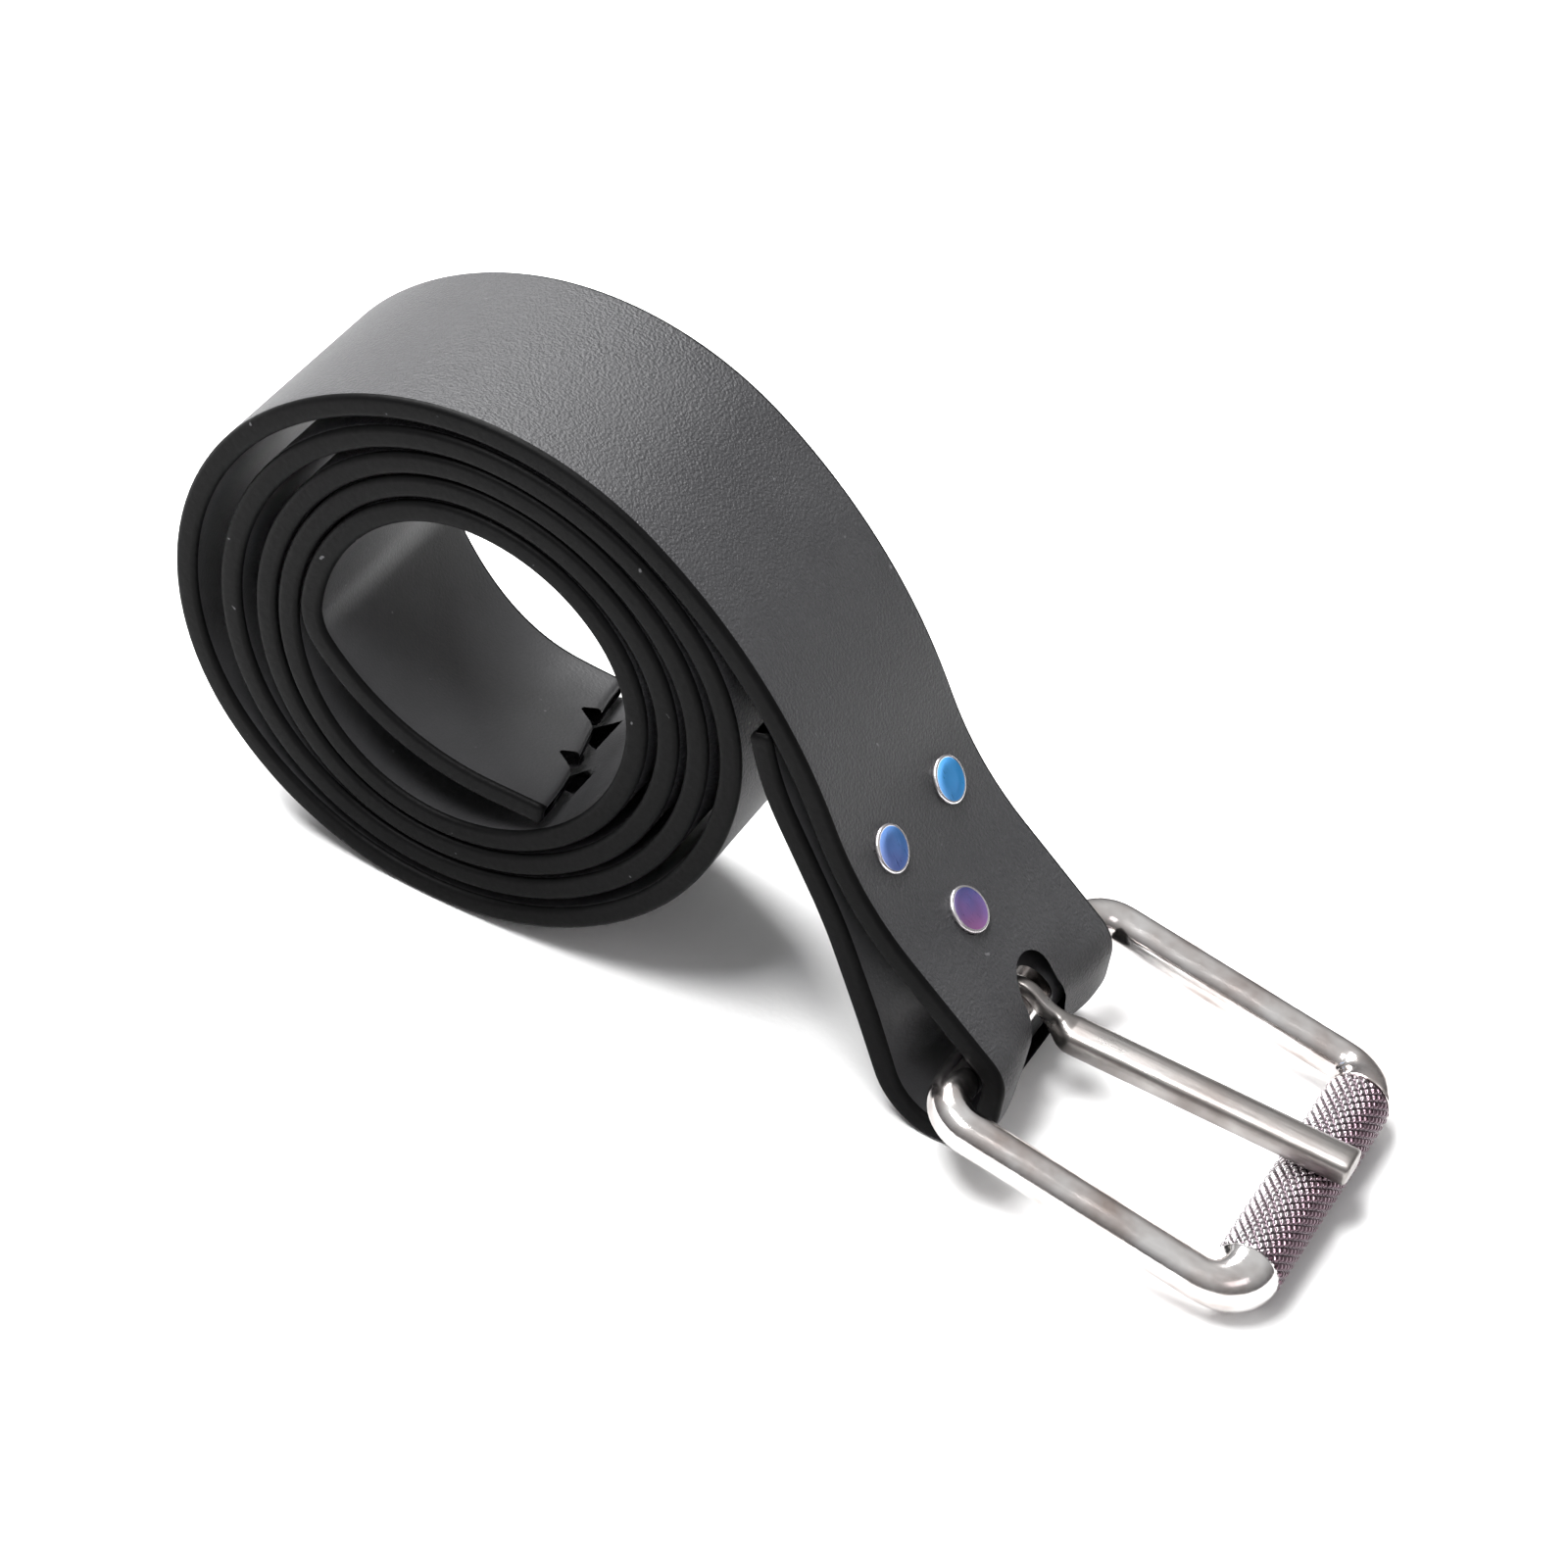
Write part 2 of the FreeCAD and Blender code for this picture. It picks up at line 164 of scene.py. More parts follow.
coil_top = (0.0, COIL_Z + COIL_TOP[0], 0.0)
tail_end = walk(coil_top, TAIL)
BAR_X, BAR_Z, _ = beside(tail_end, -WRAP_RADIUS)
fold_steps = [("bend", WRAP_RADIUS, -54), ("run", BAR_Z - LOOP_RADIUS - HALF_THICK),
              ("bend", LOOP_RADIUS, -110)]
flap_root = beside(walk(coil_top, TAIL[:4] + [("run", FLAP_RUN)]), -FLAP_OFFSET)
flap_root = (flap_root[0], flap_root[1], flap_root[2] + 180)
loop_end = walk(tail_end, fold_steps)
flap_middle = closing_steps(loop_end, flap_root, LOOP_RADIUS, FLAP_BEND)
flap_middle += [("run", FLAP_RUN), ("bend", 75 + FLAP_OFFSET, -22), ("run", 5),
                ("bend", 120 - FLAP_OFFSET, 8)]
# Away from the rivets the flap's two edges stand off the tail.
flap_edge = [("bend", 16, -41), ("run", 27), ("bend", 100, 7), ("run", 16),
             ("bend", 55, -16), ("run", 1.8)]
FLAP_COUNT = 110           # rings along the flap

inward = stations((coil_top[0], coil_top[1], 180.0), coil_steps, 1.5)
outward = [(x, z, heading - 180) for x, z, heading in reversed(inward)]
outward += stations(coil_top, TAIL + fold_steps, 1.2)[1:]
middle_places = spread(loop_end, flap_middle, FLAP_COUNT)
edge_places = spread(loop_end, flap_edge, FLAP_COUNT)


def smooth(low, high, value):
    share = min(1.0, max(0.0, (value - low) / (high - low)))
    return share * share * (3 - 2 * share)


def mix(a, b, share):
    return tuple(p + (q - p) * share for p, q in zip(a, b))


# ------------------------------------------------------------------------ mesh helpers
def make_mesh(name, points, faces, materials, indices=None, smooth_faces=True):
    """A mesh object from points in millimetres, with a material index for each face."""
    mesh = bpy.data.meshes.new(name)
    mesh.from_pydata([tuple(c * MM for c in p) for p in points], [], faces)
    for material in materials:
        mesh.materials.append(material)
    if indices:
        mesh.polygons.foreach_set("material_index", indices)
    if smooth_faces:
        mesh.polygons.foreach_set("use_smooth", [True] * len(mesh.polygons))
    mesh.update()
    obj = bpy.data.objects.new(name, mesh)
    bpy.context.collection.objects.link(obj)
    return obj


def rings_to_faces(ring_count, ring_size, closed_length=False):
    """Quads between neighbouring rings, and from the last to the first when closed."""
    faces = []
    for r in range(ring_count if closed_length else ring_count - 1):
        a, b = r * ring_size, ((r + 1) % ring_count) * ring_size
        for i in range(ring_size):
            j = (i + 1) % ring_size
            faces.append((a + i, a + j, b + j, b + i))
    return faces


def end_faces(point_count, ring_size):
    """The faces that close the first and the last ring."""
    return [tuple(reversed(range(ring_size))),
            tuple(range(point_count - ring_size, point_count))]


# -------------------------------------------------------------------- material helpers
def new_material(name):
    """The material, its node tree, its shader and the object's own coordinates."""
    material = bpy.data.materials.new(name)
    material.use_nodes = True
    tree = material.node_tree
    shader = tree.nodes["Principled BSDF"]
    coords = tree.nodes.new("ShaderNodeTexCoord")
    return material, tree, shader, coords.outputs["Object"]


def node(tree, kind, inputs=None, **settings):
    """Adds a node; each input is a value or the socket it is linked to."""
    made = tree.nodes.new(kind)
    for key, value in settings.items():
        setattr(made, key, value)
    for key, value in (inputs or {}).items():
        if isinstance(value, bpy.types.NodeSocket):
            tree.links.new(value, made.inputs[key])
        else:
            made.inputs[key].default_value = value
    return made


def noise(tree, vector, scale, detail=4.0, roughness=0.55):
    return node(tree, "ShaderNodeTexNoise",
                {"Vector": vector, "Scale": scale, "Detail": detail,
                 "Roughness": roughness}).outputs["Fac"]


def ramp(tree, value, low, high, start, end):
    """start where value is low, end where it is high."""
    return node(tree, "ShaderNodeMapRange",
                {"Value": value, "From Min": low, "From Max": high, "To Min": start,
                 "To Max": end}).outputs["Result"]


def blend_colour(tree, share, first, second):
    """The first colour where share is 0, the second where it is 1."""
    made = tree.nodes.new("ShaderNodeMix")
    made.data_type = "RGBA"
    tree.links.new(share, made.inputs[0])
    for socket, colour in ((made.inputs[6], first), (made.inputs[7], second)):
        if isinstance(colour, bpy.types.NodeSocket):
            tree.links.new(colour, socket)
        else:
            socket.default_value = (*colour, 1)
    return made.outputs[2]


def maths(tree, operation, a, b):
    made = tree.nodes.new("ShaderNodeMath")
    made.operation = operation
    for socket, value in zip(made.inputs, (a, b)):
        if isinstance(value, bpy.types.NodeSocket):
            tree.links.new(value, socket)
        else:
            socket.default_value = value
    return made.outputs[0]


def bump(tree, shader, height, distance):
    made = node(tree, "ShaderNodeBump", {"Height": height, "Distance": distance})
    tree.links.new(made.outputs["Normal"], shader.inputs["Normal"])


def rubber(name, dark, light, rough, grain, depth, shine=0.5):
    """Black rubber: pebbled grain, faint cloudy wear and a few specks of dust."""
    material, tree, shader, place = new_material(name)
    cloud = noise(tree, place, 35, 3)
    cells = node(tree, "ShaderNodeTexVoronoi", {"Vector": place, "Scale": grain},
                 feature="SMOOTH_F1").outputs["Distance"]
    fine = noise(tree, place, grain * 1.7, 3, 0.6)
    pebble = maths(tree, "ADD", cells, maths(tree, "MULTIPLY", fine, 0.8))
    tone = blend_colour(tree, ramp(tree, cloud, 0.3, 0.7, 0, 1), dark, light)
    speck = ramp(tree, noise(tree, place, 420, 1), 0.79, 0.82, 0, 0.35)
    tree.links.new(blend_colour(tree, speck, tone, (0.22, 0.22, 0.23)),
                   shader.inputs["Base Color"])
    tree.links.new(ramp(tree, maths(tree, "ADD", cloud, fine), 0.7, 1.3, rough - 0.06,
                        rough + 0.08), shader.inputs["Roughness"])
    shader.inputs["Specular IOR Level"].default_value = shine
    bump(tree, shader, pebble, depth)
    return material


def steel(name, bright, warm, rough, streak_axis, scratch=0.00002):
    """Stainless steel: tone and roughness change in soft streaks with fine scratches."""
    material, tree, shader, place = new_material(name)
    stretch = [900.0, 900.0, 900.0]
    stretch["XYZ".index(streak_axis)] = 60.0
    streaked = node(tree, "ShaderNodeMapping", {"Vector": place, "Scale": stretch})
    fine = noise(tree, streaked.outputs["Vector"], 1.0, 5, 0.65)
    cloud = noise(tree, place, 90, 3)
    tree.links.new(blend_colour(tree, ramp(tree, cloud, 0.35, 0.7, 0, 1), bright, warm),
                   shader.inputs["Base Color"])
    shader.inputs["Metallic"].default_value = 1.0
    tree.links.new(ramp(tree, maths(tree, "ADD", fine, cloud), 0.7, 1.3, rough - 0.07,
                        rough + 0.12), shader.inputs["Roughness"])
    bump(tree, shader, fine, scratch)
    return material


RUBBER_FACE = rubber("rubber grained face", (0.019, 0.019, 0.021), (0.028, 0.028, 0.030),
                     0.52, 1750, 0.00022)
RUBBER_BACK = rubber("rubber smooth back", (0.023, 0.023, 0.024), (0.034, 0.034, 0.036),
                     0.46, 1700, 0.00004, 0.45)
# Painted shade: the cut edge's colour is near black, far darker than the grained faces.
RUBBER_EDGE_PAINTED_SHADE = rubber("rubber cut edge, painted shade", (0.0012, 0.0012, 0.0013), (0.003, 0.003, 0.0032),
                     0.5, 700, 0.00005, 0.07)
WIRE_STEEL = steel("polished steel wire", (0.92, 0.90, 0.89), (0.46, 0.39, 0.36), 0.13, "X")
ROLLER_STEEL = steel("knurled steel", (0.62, 0.60, 0.61), (0.47, 0.41, 0.44), 0.20, "Y")
PRONG_STEEL = steel("worn steel", (0.37, 0.355, 0.345), (0.21, 0.19, 0.18), 0.31, "X", 0.00006)


def paint_side_reflection(material, axis, low, high, colour):
    """Painted reflection and shade: own colour blends into another along an axis of the part.
    """
    tree = material.node_tree
    shader = tree.nodes["Principled BSDF"]
    own = shader.inputs["Base Color"].links[0].from_socket
    place = node(tree, "ShaderNodeTexCoord").outputs["Object"]
    along = node(tree, "ShaderNodeSeparateXYZ", {"Vector": place}).outputs[axis]
    wander = maths(tree, "MULTIPLY", noise(tree, place, 300, 2), 0.002)
    share = ramp(tree, maths(tree, "ADD", along, wander), low, high, 0, 1)
    tree.links.new(blend_colour(tree, share, own, colour), shader.inputs["Base Color"])


roller_low, roller_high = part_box("roller_sleeve")
roller_wide = roller_high.x - roller_low.x
# Painted reflection and shade: the sleeve turns dark pink towards its +X side.
paint_side_reflection(ROLLER_STEEL, "X", roller_low.x + 0.55 * roller_wide,
            roller_low.x + 0.80 * roller_wide, (0.125, 0.075, 0.095))


def paint_groove_shade(material, colour):
    """Painted shade in the knurl: the mesh's own rise is 0 in a groove and 1 on a flat top."""
    tree = material.node_tree
    shader = tree.nodes["Principled BSDF"]
    own = shader.inputs["Base Color"].links[0].from_socket
    rise = node(tree, "ShaderNodeAttribute", attribute_name="rise").outputs["Fac"]
    share = ramp(tree, rise, 0.25, 0.95, 0, 1)
    tree.links.new(blend_colour(tree, share, colour, own), shader.inputs["Base Color"])


# Painted shade: the knurl's grooves darken the sleeve's colour.
paint_groove_shade(ROLLER_STEEL, (0.13, 0.10, 0.115))
RIVET_RIM = steel("rivet rim steel", (0.80, 0.79, 0.80), (0.62, 0.58, 0.60), 0.20, "Y")

# ------------------------------------------------------------------------------ strap
CORNER = 1.15              # rounding of the strap's long edges
ACROSS = 32                # divisions across each broad face
ROUND = 5                  # divisions round each corner


def section():
    """The strap's cross-section as (y, offset, material), starting on the outer face."""
    flat = STRAP_WIDTH / 2 - CORNER
    ring = []
    for side, material in ((1, 0), (-1, 1)):
        for i in range(ACROSS + 1):
            y = (-flat + 2 * flat * i / ACROSS) * side
            ring.append((y, HALF_THICK * side, material if i < ACROSS else 2))
        for shift, turns in ((1, range(1, ROUND + 1)), (-1, range(ROUND, 2 * ROUND))):
            for i in turns:
                angle = math.radians(90 * i / ROUND)
                offset = shift * (HALF_THICK - CORNER) + CORNER * math.cos(angle)
                ring.append((side * (flat + CORNER * math.sin(angle)), side * offset, 2))
    return ring


SECTION = section()
END_TWIST = 70.0           # the free end twists over this length
END_SHIFT = (-9.0, -6.5)   # and its far corner moves this far in x and z
FOLD_FRONT = 6.7           # the middle of the strap passes this far in front of the bar
FOLD_BACK = 9.0            # the thinning fades out this far behind that
FOLD_THIN = 2.3            # most that the outer face sinks beside the slot
THIN_FULL, THIN_NONE = 6.0, 21.0   # distances from the middle of the strap
FLAP_FLAT, FLAP_FLARED = 9.0, 26.0     # the same for the flap's edges


def section_points(place_for, inset, thin=0.0):
    """One ring of the strap; thin is how far its outer face sinks beside the slot."""
    points = []
    for y, offset, _ in SECTION:
        y *= 1 - inset / (STRAP_WIDTH / 2)
        offset *= 1 - inset / HALF_THICK
        if offset > 0:
            offset -= thin * (1 - smooth(THIN_FULL, THIN_NONE, abs(y)))
        x, z, heading = place_for(y)
        side = beside((x, z, heading), offset)
        points.append((side[0], y, side[1]))
    return points


def end_inset(distance):
    """How far the section shrinks that near to an end, to round the end's edges."""
    if distance >= CORNER:
        return 0.0
    return CORNER - math.sqrt(max(0.0, CORNER ** 2 - (CORNER - distance) ** 2))


def fold_thinning(place):
    """The rubber is drawn thin where it bends round the front of the bar."""
    return FOLD_THIN * smooth(FOLD_FRONT - FOLD_BACK, FOLD_FRONT, place[0] - BAR_X)


def build_strap():
    """The strip from its free end, round the coil and the fold, to the end of the flap."""
    rings = []
    travelled = 0.0
    start = previous = outward[0]
    rounded = [step_end(start, ("run", d)) for d in (0.1, 0.35, 0.7)]
    for place in [start] + rounded + outward[1:]:
        travelled += math.hypot(place[0] - previous[0], place[1] - previous[1])
        previous = place
        twist = 1 - smooth(0, END_TWIST, travelled)

        def at(y, place=place, twist=twist):
            share = twist * smooth(-STRAP_WIDTH / 2, STRAP_WIDTH / 2, y)
            return place[0] + END_SHIFT[0] * share, place[1] + END_SHIFT[1] * share, place[2]

        rings.append(section_points(at, end_inset(travelled), fold_thinning(place)))
    flap = list(zip(middle_places, edge_places))[1:]
    last = flap[-1]
    ends = [(step_end(last[0], ("run", d)), step_end(last[1], ("run", d)))
            for d in (0.45, 0.8, 1.05, CORNER)]
    left = sum(step_length(s) for s in flap_middle) + CORNER
    previous = loop_end
    for middle, edge in flap + ends:
        left -= math.hypot(middle[0] - previous[0], middle[1] - previous[1])
        previous = middle

        def at(y, middle=middle, edge=edge):
            return mix(middle, edge, smooth(FLAP_FLAT, FLAP_FLARED, abs(y)))

        rings.append(section_points(at, end_inset(max(0.0, left))))
    size = len(SECTION)
    points = [p for ring in rings for p in ring]
    points = [(x + COIL_X, y, z) for x, y, z in points]
    faces = rings_to_faces(len(rings), size)
    indices = [SECTION[i % size][2] for i in range(len(faces))]
    faces.append(tuple(range(size)))
    faces.append(tuple(reversed(range(len(points) - size, len(points)))))
    indices += [2, 2]
    return make_mesh("strap_rubber", points, faces,
                     [RUBBER_FACE, RUBBER_BACK, RUBBER_EDGE_PAINTED_SHADE], indices)


def prism(name, outline, low, high, matrix):
    """A cutter: an outline in its own XY plane, from low to high along Z, placed in mm."""
    points = [(x, y, z) for z in (low, high) for x, y in outline]
    count = len(outline)
    faces = end_faces(2 * count, count) + rings_to_faces(2, count)
    placed = [tuple(matrix @ Vector(p)) for p in points]
    return make_mesh(name, placed, faces, [RUBBER_EDGE_PAINTED_SHADE], smooth_faces=False)


def arc(radius, count, start=0.0, sweep=360.0, centre_x=0.0):
    """Points round a full circle, or round an arc with both of its ends."""
    gaps = count if sweep >= 360 else count - 1
    angles = [math.radians(start + sweep * i / gaps) for i in range(count)]
    return [(centre_x + radius * math.cos(a), radius * math.sin(a)) for a in angles]


def upright(place, y):
    """A matrix whose Z is square to the strap at a place and whose X runs along it."""
    x, z, heading = place
    turn = Matrix.Rotation(math.radians(-heading), 4, "Y")
    return Matrix.Translation((x + COIL_X, y, z)) @ turn


def place_from_end(distance):
    """The first ring's place on the coil that is at least that far from the free end."""
    total = 0.0
    for here, after in zip(outward, outward[1:]):
        total += math.hypot(after[0] - here[0], after[1] - here[1])
        if total >= distance:
            return after
    return outward[-1]


HOLE_RADIUS = 4.0
HOLE_DEPTH = 2.7           # each way from the middle of the strap
HOLE_COUNT = 8
FIRST_HOLE = 110
HOLE_PITCH = 35
NOTCH_CENTRES = (-6.5, 10.5)
NOTCH_DEPTH = 3.6
NOTCH_HALF = 5.5
SLOT_RADIUS = 6.0
SLOT_END = 1.5             # the slot's round end is centred this far in front of the bar
SLOT_LEAN = 14.0
SLOT_FLOOR = -5.3          # the slot ends this far below the bar, under the prong
SLOT_TOP = 30.0
# The far half of the slot's outline, which opens like a funnel towards the front.
SLOT_SIDE = [(3.5, 6.2), (6.0, 7.4), (7.5, 8.8), (9.0, 10.8), (27, 10.8)]

strap = build_strap()
cutters = []
for index in range(HOLE_COUNT):
    on_strap = upright(place_from_end(FIRST_HOLE + HOLE_PITCH * index), 0)
    cutters.append(prism("hole_cutter", arc(HOLE_RADIUS, 40), -HOLE_DEPTH, HOLE_DEPTH,
                         on_strap))
for y in NOTCH_CENTRES:
    share = smooth(-STRAP_WIDTH / 2, STRAP_WIDTH / 2, y)
    x, z, heading = outward[0]
    twisted = (x + END_SHIFT[0] * share, z + END_SHIFT[1] * share, heading)
    notch = [(-3, -NOTCH_HALF), (NOTCH_DEPTH, -0.4), (NOTCH_DEPTH, 0.4), (-3, NOTCH_HALF)]
    cutters.append(prism("notch_cutter", notch, -5, 5, upright(twisted, y)))
slot_outline = arc(SLOT_RADIUS, 24, 90, 180, SLOT_END)
slot_outline += [(x, -y) for x, y in SLOT_SIDE] + list(reversed(SLOT_SIDE))
slot_matrix = (Matrix.Translation((BAR_X + COIL_X, 0, BAR_Z))
               @ Matrix.Rotation(math.radians(SLOT_LEAN), 4, "Y"))
cutters.append(prism("slot_cutter", slot_outline, SLOT_FLOOR, SLOT_TOP, slot_matrix))


def cut_away(target, tools):
    """Cuts every tool out of the target and leaves one finished mesh."""
    for tool in tools:
        modifier = target.modifiers.new("cut", "BOOLEAN")
        modifier.operation = "DIFFERENCE"
        modifier.solver = "EXACT"
        modifier.object = tool
    bpy.context.view_layer.update()
    graph = bpy.context.evaluated_depsgraph_get()
    finished = bpy.data.meshes.new_from_object(target.evaluated_get(graph))
    target.modifiers.clear()
    target.data = finished
    for tool in tools:
        bpy.data.objects.remove(tool)


cut_away(strap, cutters)
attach(strap, "strap_body")
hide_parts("strap")

# ----------------------------------------------------------------------------- rivets
HEAD_RADIUS = 4.8
RIVETS = (([("bend", 75, 8)], 12.0), ([("bend", 75, 8)], -12.0),
          ([("bend", 75, 22), ("run", 2)], -3.6))


def lathe(name, profile, matrix, materials, indices, segments=64):
    """Turns (radius, height) points round their own Z and closes both ends."""
    points = []
    for radius, height in profile:
        for i in range(segments):
            angle = 2 * math.pi * i / segments
            points.append((radius * math.cos(angle), radius * math.sin(angle), height))
    faces = rings_to_faces(len(profile), segments) + end_faces(len(points), segments)
    chosen = [index for index in indices for _ in range(segments)]
    chosen += [indices[0], indices[-1]]
    placed = [tuple(matrix @ Vector(p)) for p in points]
    return make_mesh(name, placed, faces, materials, chosen)


def rivet_face():
    """Polished face with a painted reflection, sky blue to violet pink across the three
    rivets.
    """
    material, tree, shader, place = new_material("rivet face, painted reflection")
    parts = node(tree, "ShaderNodeSeparateXYZ", {"Vector": place})
    wander = maths(tree, "MULTIPLY", noise(tree, place, 260, 3), 0.006)
    toward = maths(tree, "SUBTRACT", parts.outputs["X"],
                   maths(tree, "MULTIPLY", parts.outputs["Y"], 0.55))
    toward = maths(tree, "ADD", toward, wander)
    # Painted reflection: the colour sweeps from sky blue to violet pink across the rivets.
    near = ramp(tree, toward, 0.022, 0.040, 0, 1)
    far = ramp(tree, toward, 0.040, 0.050, 0, 1)
    blue = blend_colour(tree, near, (0.06, 0.34, 0.76), (0.12, 0.15, 0.42))
    tree.links.new(blend_colour(tree, far, blue, (0.34, 0.14, 0.33)),
                   shader.inputs["Base Color"])
    shader.inputs["Metallic"].default_value = 0.85
    streaks = node(tree, "ShaderNodeMapping", {"Vector": place, "Scale": (300, 2500, 300)})
    fine = noise(tree, streaks.outputs["Vector"], 1.0, 4, 0.6)
    tree.links.new(ramp(tree, fine, 0.3, 0.7, 0.26, 0.42), shader.inputs["Roughness"])
    bump(tree, shader, fine, 0.00003)
    return material


RIVET_FACE_REFLECTION = rivet_face()
for index, (steps, y) in enumerate(RIVETS, start=1):
    place = walk(coil_top, TAIL[:3] + steps)
    on_face = upright(beside(place, HALF_THICK), y)
    cap = lathe(f"rivet_face_cap_{index}",
                [(2.5, -8.6), (2.5, 0.02), (HEAD_RADIUS - 0.15, 0.0), (HEAD_RADIUS, 0.18),
                 (HEAD_RADIUS, 0.62), (HEAD_RADIUS - 0.12, 0.86), (HEAD_RADIUS - 0.38, 1.0),
                 (HEAD_RADIUS - 0.62, 0.94), (HEAD_RADIUS - 0.78, 0.84), (2.0, 0.90),
                 (0.3, 0.92)],
                on_face, [RIVET_RIM, RIVET_FACE_REFLECTION], [0] * 7 + [1] * 3)
    post = lathe(f"rivet_back_post_{index}",
                 [(0.3, -1.0), (2.2, -1.0), (3.7, -0.9), (4.15, -0.6), (4.25, -0.2),
                  (4.1, 0.0), (1.7, 0.0), (1.7, 8.6)],
                 upright(beside(place, -HALF_THICK - FLAP_OFFSET), y),
                 [RIVET_RIM], [0] * 7)
    for piece, node_name in ((cap, f"rivet_cap_{index}"), (post, f"rivet_post_{index}")):
        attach(piece, "strap_body")
        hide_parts(node_name)

# ------------------------------------------------------------------------ buckle frame
WIRE = 4.15                # radius of the wire
REACH = 62.8               # from the bar's middle to the front wire's
SIDE = 34.5                # from the middle of the buckle to a side wire's
BEND = 7.5
NOSE = 6.5                 # radius of the swollen front corners
RING_SIZE = 40             # points round the wire
bar = Vector((BAR_X + COIL_X, 0, BAR_Z))
low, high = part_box("roller_sleeve")
roller = (low + high) / (2 * MM)
pitch = math.atan2(bar.z - roller.z, roller.x - bar.x)
frame_matrix = Matrix.Translation(bar) @ Matrix.Rotation(pitch, 4, "Y")


def frame_wire():
    """One ring of round wire: bar, tight corners, side wires and swollen front corners."""
    straight, back_corner, front_corner = 40, 18, 24
    stops = []                 # ((x, y), heading, radius) along the far half
    for i in range(straight + 1):
        y = -SIDE + BEND + 2 * (SIDE - BEND) * i / straight
        stops.append(((0, y), 90, WIRE))
    for i in range(1, back_corner + 1):
        angle = 90 * i / back_corner
        turn = math.radians(angle)
        place = (BEND - BEND * math.cos(turn), SIDE - BEND + BEND * math.sin(turn))
        stops.append((place, 90 - angle, WIRE))
    for i in range(1, straight + 1):
        stops.append(((BEND + (REACH - 2 * BEND) * i / straight, SIDE), 0, WIRE))
    for i in range(1, front_corner + 1):
        angle = 90 * i / front_corner
        turn = math.radians(angle)
        radius = WIRE + (NOSE - WIRE) * smooth(0, 90, angle)
        place = (REACH - BEND + BEND * math.sin(turn), SIDE - BEND + BEND * math.cos(turn))
        stops.append((place, -angle, radius))
    stops.append(((REACH, SIDE - BEND), -90, NOSE - 0.35))
    stops.append(((REACH, SIDE - BEND - 0.05), -90, WIRE))
    near = [((x, -y), 180 - heading, radius) for (x, y), heading, radius in reversed(stops)]
    near = [stop for stop in near if stop[0][0] > 1e-6]
    stops += [((REACH, 0), -90, WIRE)] + near
    points = []
    for (x, y), heading, radius in stops:
        angle = math.radians(heading)
        for i in range(RING_SIZE):
            around = 2 * math.pi * i / RING_SIZE
            side = radius * math.cos(around)
            points.append(frame_matrix @ Vector((x - side * math.sin(angle),
                                                 y + side * math.cos(angle),
                                                 radius * math.sin(around))))
    faces = rings_to_faces(len(stops), RING_SIZE, True)
    return make_mesh("frame_wire", points, faces, [WIRE_STEEL])


wire = frame_wire()
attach(wire, "frame_body")
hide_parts("buckle_frame")

# ------------------------------------------------------------------------------ roller
ROLLER_RADIUS = 6.65


def knurled_sleeve():
    """A tube whose outside is pressed with crossing helical grooves."""
    length, bore = 53.6, 4.25
    grooves, depth, spacing = 22, 0.5, 1.15
    flank = 1.9                # how steeply a groove's sides rise
    end_zone, end_round = 0.7, 0.45
    around, along = 300, 380   # divisions round and along

    def ridge(value):
        """0 at whole numbers and 1 half way between them."""
        share = value - math.floor(value)
        return 1 - abs(2 * share - 1)

    rings, rises = [], []
    for i in range(along + 1):
        y = -length / 2 + length * i / along
        edge = smooth(0, end_zone, length / 2 - abs(y))
        ring = []
        for j in range(around):
            angle = 2 * math.pi * j / around
            turn = angle * grooves / (2 * math.pi)
            first, second = ridge(turn + y / spacing / 2), ridge(turn - y / spacing / 2)
            rise = min(1.0, flank * min(first, second))
            rises.append(rise)
            r = ROLLER_RADIUS - depth * (1 - rise) * edge - end_round * (1 - edge)
            ring.append((REACH + r * math.cos(angle), y, r * math.sin(angle)))
        rings.append(ring)
    for r, y in ((bore, length / 2), (bore, -length / 2)):
        rings.append([(REACH + r * math.cos(2 * math.pi * j / around), y,
                       r * math.sin(2 * math.pi * j / around)) for j in range(around)])
    points = [frame_matrix @ Vector(p) for ring in rings for p in ring]
    sleeve = make_mesh("knurled_sleeve", points, rings_to_faces(len(rings), around, True),
                       [ROLLER_STEEL])
    rises += [1.0] * (len(points) - len(rises))
    sleeve.data.attributes.new("rise", "FLOAT", "POINT").data.foreach_set("value", rises)
    return sleeve


sleeve = knurled_sleeve()
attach(sleeve, "roller_body")
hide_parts("roller_sleeve")

# ------------------------------------------------------------------------------- prong
PRONG_LENGTH = 70.0
PRONG_HALF_WIDE = 3.8
PRONG_HALF_HIGH = 2.8
PRONG_TIP = 0.8            # rounding of the free end
PRONG_REST = ROLLER_RADIUS + 0.1 + PRONG_HALF_HIGH
SHOULDER = 12.6            # the bar has its full section from here on
EYE_OUTSIDE, EYE_INSIDE = 7.0, 4.21
EYE_HALF_WIDE = 1.4
PRONG_RING = 36            # points round the prong


def superellipse(half_wide, half_high, power):
    """A round-topped outline with a flatter underside."""
    ring = []
    for i in range(PRONG_RING):
        angle = 2 * math.pi * i / PRONG_RING
        c, s = math.cos(angle), math.sin(angle)
        top = power if s > 0 else power * 1.7
        ring.append((half_wide * math.copysign(abs(c) ** (2 / top), c),
                     half_high * math.copysign(abs(s) ** (2 / top), s)))
    return ring


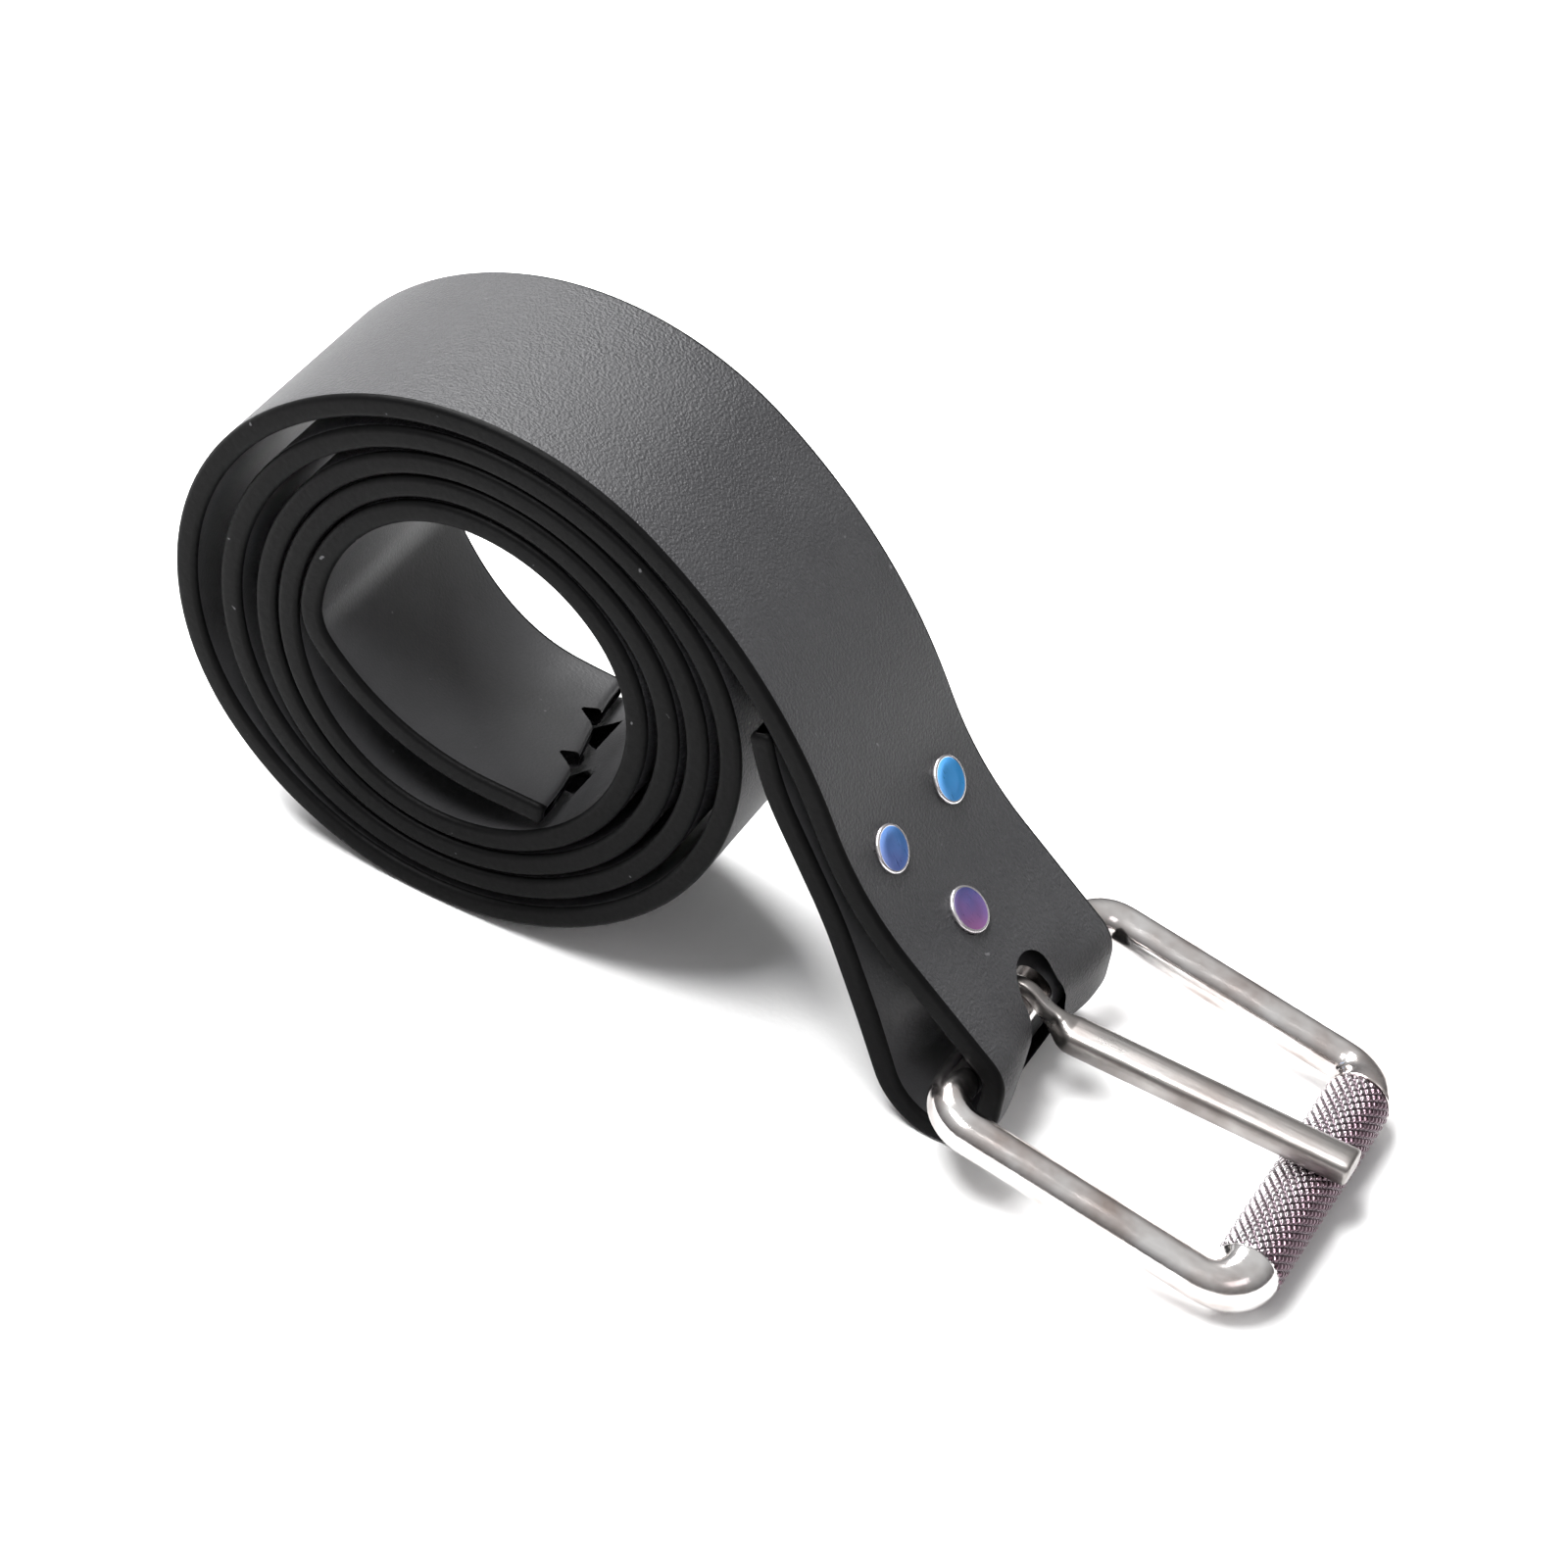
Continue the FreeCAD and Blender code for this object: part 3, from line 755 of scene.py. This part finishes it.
def prong_mesh():
    """An eye bent round the bar that thickens into a round-topped bar."""
    eye_steps, neck_steps, bar_steps = 60, 30, 59
    eye_start, eye_end = 205.0, 62
    eye_middle, eye_half = (EYE_OUTSIDE + EYE_INSIDE) / 2, (EYE_OUTSIDE - EYE_INSIDE) / 2
    lift = math.asin(PRONG_REST / REACH)
    matrix = Matrix.Translation(bar) @ Matrix.Rotation(pitch - lift, 4, "Y")
    stops = []                 # centre, heading, half width, half height
    for i in range(eye_steps + 1):
        angle = math.radians(eye_start - (eye_start - eye_end) * i / eye_steps)
        centre = Vector((eye_middle * math.cos(angle), 0, eye_middle * math.sin(angle)))
        stops.append((centre, angle - math.pi / 2, EYE_HALF_WIDE, eye_half))
    x0, z0, heading0 = stops[-1][0].x, stops[-1][0].z, stops[-1][1]
    for i in range(1, neck_steps + 1):
        share = i / neck_steps
        ease = smooth(0, 1, share)
        x = x0 + (SHOULDER - x0) * share
        drop = math.tan(heading0) * (x - x0) * (1 - ease)
        z = (z0 + drop) * (1 - ease)
        wide = EYE_HALF_WIDE + (PRONG_HALF_WIDE - EYE_HALF_WIDE) * smooth(0.45, 1.0, share)
        high = eye_half + (PRONG_HALF_HIGH - eye_half) * ease
        stops.append((Vector((x, 0, z)), None, wide, high))
    tip = PRONG_LENGTH - PRONG_TIP
    for i in range(1, bar_steps + 1):
        x = SHOULDER + (tip - SHOULDER) * i / bar_steps
        stops.append((Vector((x, 0, 0)), 0.0, PRONG_HALF_WIDE, PRONG_HALF_HIGH))
    for step in (0.35, 0.65, 0.85, 0.97, 1.0):
        inset = PRONG_TIP * (1 - math.sqrt(max(0.0, 1 - step * step)))
        stops.append((Vector((tip + PRONG_TIP * step, 0, 0)), 0.0, PRONG_HALF_WIDE - inset,
                      PRONG_HALF_HIGH - inset))
    points = []
    for i, (centre, heading, wide, high) in enumerate(stops):
        if heading is None:
            before, after = stops[i - 1][0], stops[i + 1][0]
            heading = math.atan2(after.z - before.z, after.x - before.x)
        sine, cosine = math.sin(heading), math.cos(heading)
        power = 3.2 if wide < 2 else 2.5
        points += [matrix @ (centre + Vector((-h * sine, y, h * cosine)))
                   for y, h in superellipse(wide, high, power)]
    faces = rings_to_faces(len(stops), PRONG_RING) + end_faces(len(points), PRONG_RING)
    return make_mesh("prong_bar", points, faces, [PRONG_STEEL])


prong = prong_mesh()
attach(prong, "prong_body")
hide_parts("prong")

# ------------------------------------------------------------------------ surroundings
floor_material, tree, shader, place = new_material("pale studio floor")
mottle = noise(tree, place, 6, 5)
tree.links.new(blend_colour(tree, ramp(tree, mottle, 0.3, 0.7, 0, 1), (0.83, 0.83, 0.83),
                            (0.87, 0.87, 0.87)), shader.inputs["Base Color"])
shader.inputs["Roughness"].default_value = 0.8
bump(tree, shader, noise(tree, place, 400, 3), 0.00008)
FLOOR = 4000               # half of the floor's side
corners = [(-FLOOR, -FLOOR, 0), (FLOOR, -FLOOR, 0), (FLOOR, FLOOR, 0), (-FLOOR, FLOOR, 0)]
floor = make_mesh("floor", corners, [(0, 1, 2, 3)], [floor_material])

target = Vector(((COIL_X + 58.2) * MM, 0, 0.0427))
# The camera's place as seen from the target: degrees, and metres.
AZIMUTH, ELEVATION, ROLL, DISTANCE = 20.0, 40.4, 11.7, 0.9144


def soft_light(name, azimuth, elevation, distance, size, power, colour=(1, 1, 1)):
    """An area light; azimuth 0 stands in front, on -Y, and 90 on +X."""
    lamp = bpy.data.lights.new(name, "AREA")
    lamp.shape = "RECTANGLE"
    lamp.size, lamp.size_y = size
    lamp.energy = power
    lamp.color = colour
    obj = bpy.data.objects.new(name, lamp)
    a, e = math.radians(azimuth), math.radians(elevation)
    obj.location = target + distance * Vector((math.sin(a) * math.cos(e),
                                               -math.cos(a) * math.cos(e), math.sin(e)))
    obj.rotation_euler = (target - obj.location).to_track_quat("-Z", "Y").to_euler()
    bpy.context.collection.objects.link(obj)


soft_light("key", 240, 52, 1.3, (0.8, 0.6), 40)
soft_light("fill", 60, 40, 1.6, (0.7, 0.5), 1.5, (1.0, 0.92, 0.96))
soft_light("front", 325, 66, 1.3, (0.5, 0.4), 20)

world = bpy.data.worlds.new("studio")
world.use_nodes = True
bpy.context.scene.world = world
sky = world.node_tree
background = sky.nodes["Background"]
direction = sky.nodes.new("ShaderNodeTexCoord").outputs["Generated"]
height = node(sky, "ShaderNodeSeparateXYZ", {"Vector": direction}).outputs["Z"]
sky.links.new(blend_colour(sky, ramp(sky, height, 0.0, 0.75, 0, 1), (0.12, 0.11, 0.115),
                           (1.0, 1.0, 1.0)), background.inputs["Color"])
background.inputs["Strength"].default_value = 0.62

lens = bpy.data.cameras.new("camera")
lens.lens = 112.5
lens.sensor_width = 36
lens.clip_start, lens.clip_end = 0.05, 20
camera = bpy.data.objects.new("camera", lens)
a, e = math.radians(AZIMUTH), math.radians(ELEVATION)
back = Vector((math.sin(a) * math.cos(e), -math.cos(a) * math.cos(e), math.sin(e)))
level = (-back).to_track_quat("-Z", "Y").to_matrix().to_4x4()
camera.matrix_world = (Matrix.Translation(target + back * DISTANCE) @ level
                       @ Matrix.Rotation(math.radians(ROLL), 4, "Z"))
bpy.context.collection.objects.link(camera)
bpy.context.scene.camera = camera
bpy.context.scene.view_settings.view_transform = "Standard"
